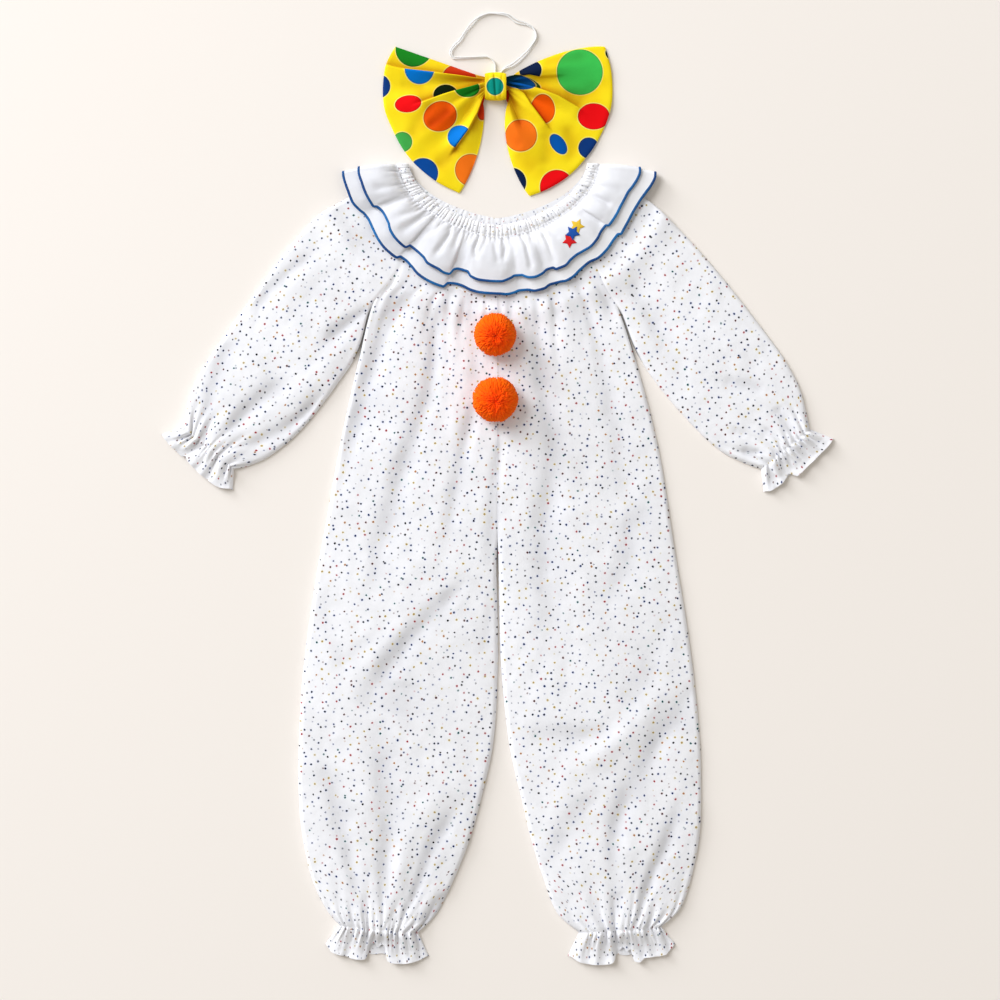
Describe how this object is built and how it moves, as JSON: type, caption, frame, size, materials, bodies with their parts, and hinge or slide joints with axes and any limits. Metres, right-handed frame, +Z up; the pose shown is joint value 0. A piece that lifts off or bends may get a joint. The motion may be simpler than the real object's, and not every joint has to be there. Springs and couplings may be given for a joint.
{
  "type": "clown costume",
  "caption": "Child's clown jumpsuit laid flat, with a two-tier ruffle collar, yarn pompoms and a separate elastic bow tie.",
  "frame": {"origin": "on the floor, at the middle of the box round the garment and its bow tie (the elastic loop left out)", "axes": "+X to the wearer's left, +Y from the ankles to the neck and the bow, +Z up from the floor"},
  "size_m": [0.8103, 1.1469, 0.0503],
  "materials": {
    "dotted_cloth": "matte white cotton weave with small dots of several colours",
    "white_cloth": "matte plain white cotton weave",
    "blue_binding": "satin blue binding",
    "orange_yarn": "matte acrylic yarn",
    "yellow_star": "embroidered thread",
    "blue_star": "embroidered thread",
    "red_star": "embroidered thread",
    "bow_satin": "smooth yellow cloth with large dots of several colours",
    "white_elastic": "white covered elastic cord"
  },
  "bodies": {
    "root": {"back_right": "dotted_cloth", "back_left": "dotted_cloth", "front_right": "dotted_cloth", "front_left": "dotted_cloth", "sleeve_right": "dotted_cloth", "sleeve_left": "dotted_cloth", "neck_casing": "dotted_cloth", "collar_lower": "white_cloth", "collar_upper": "white_cloth", "collar_lower_edge": "blue_binding", "collar_upper_edge": "blue_binding", "pompom_upper": "orange_yarn", "pompom_lower": "orange_yarn", "star_yellow": "yellow_star", "star_blue": "blue_star", "star_red": "red_star", "bow_wing_right": "bow_satin", "bow_wing_left": "bow_satin", "bow_knot": "bow_satin", "bow_elastic": "white_elastic"}
  },
  "joints": []
}
